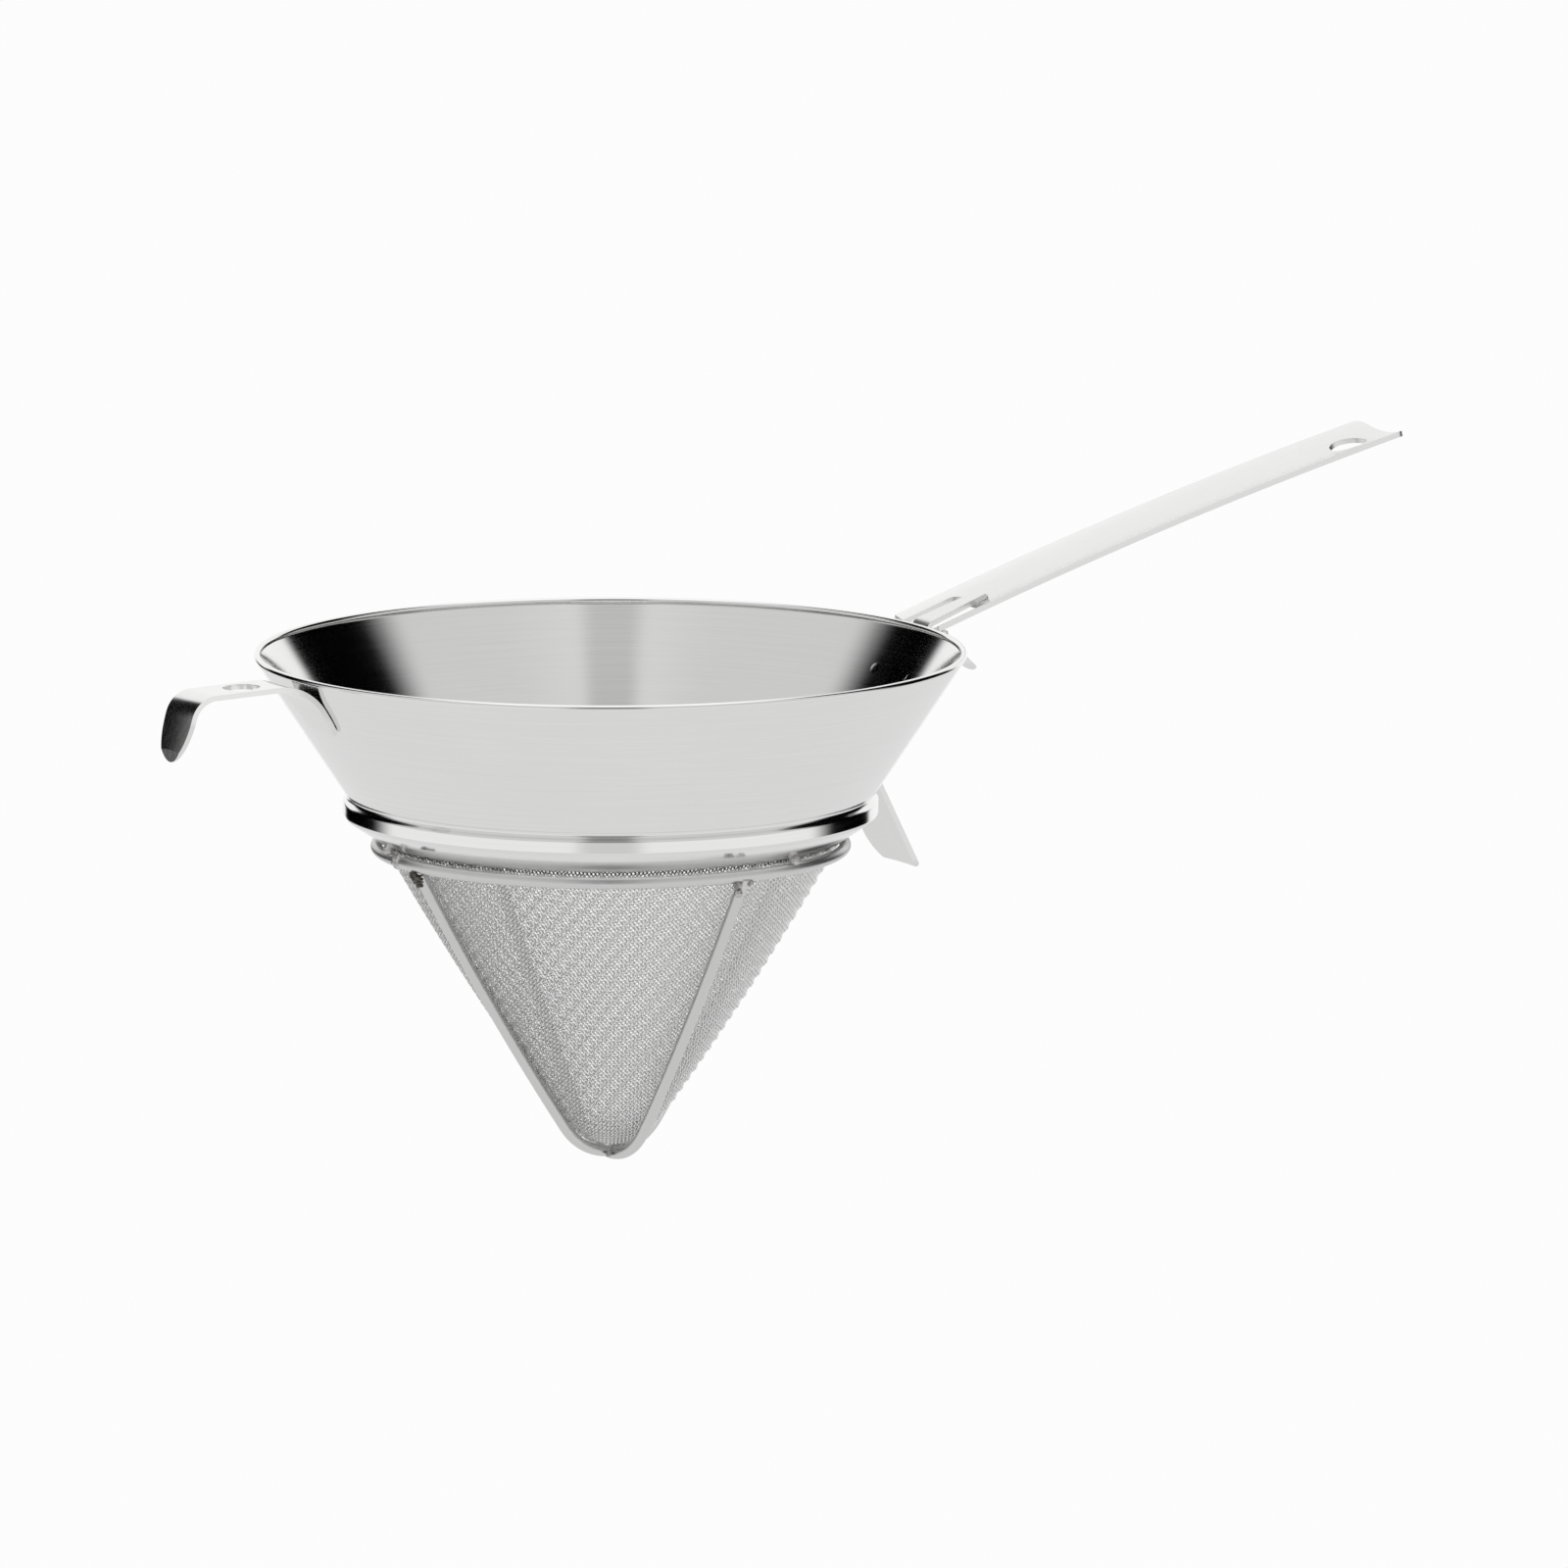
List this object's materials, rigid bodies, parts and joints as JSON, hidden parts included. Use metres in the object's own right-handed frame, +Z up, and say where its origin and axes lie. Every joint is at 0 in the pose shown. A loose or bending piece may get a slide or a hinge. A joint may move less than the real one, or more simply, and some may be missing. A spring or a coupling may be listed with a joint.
{
  "type": "chinois strainer",
  "caption": "Conical wire-cloth strainer with a spun steel bowl, a guard of round bars, a front hook and a long dished handle with a hanging hole",
  "frame": {"origin": "centre of the bowl's mouth, in the plane of the rim's top", "axes": "+Z up out of the mouth along the bowl's axis, +X along the handle, -X towards the front hook"},
  "size_m": [0.3953, 0.2, 0.1902],
  "materials": {
    "spun_steel": "fine turning lines round the axis, polished rim",
    "wire_cloth": "drawn wire, plain weave",
    "clamp_steel": "rolled sheet",
    "guard_wire": "bright drawn wire",
    "weld": "as welded, dull",
    "hook_steel": "satin",
    "strap_steel": "satin",
    "handle_steel": "satin, brushed along its length"
  },
  "bodies": {
    "root": {"bowl": "spun_steel", "mesh_cone": "wire_cloth", "mesh_seam": "wire_cloth", "clamp_ring": "clamp_steel", "guard_hoop": "guard_wire", "guard_bar_inner": "guard_wire", "guard_bar_outer": "guard_wire", "hoop_joint": "weld", "hoop_tacks": "weld", "bar_welds": "weld", "tip_welds": "weld", "front_hook": "hook_steel", "hook_spot_welds": "weld", "rear_strap": "strap_steel", "strap_spot_welds": "weld", "handle": "handle_steel", "handle_root_welds": "weld", "prong_weld": "weld"}
  },
  "joints": []
}
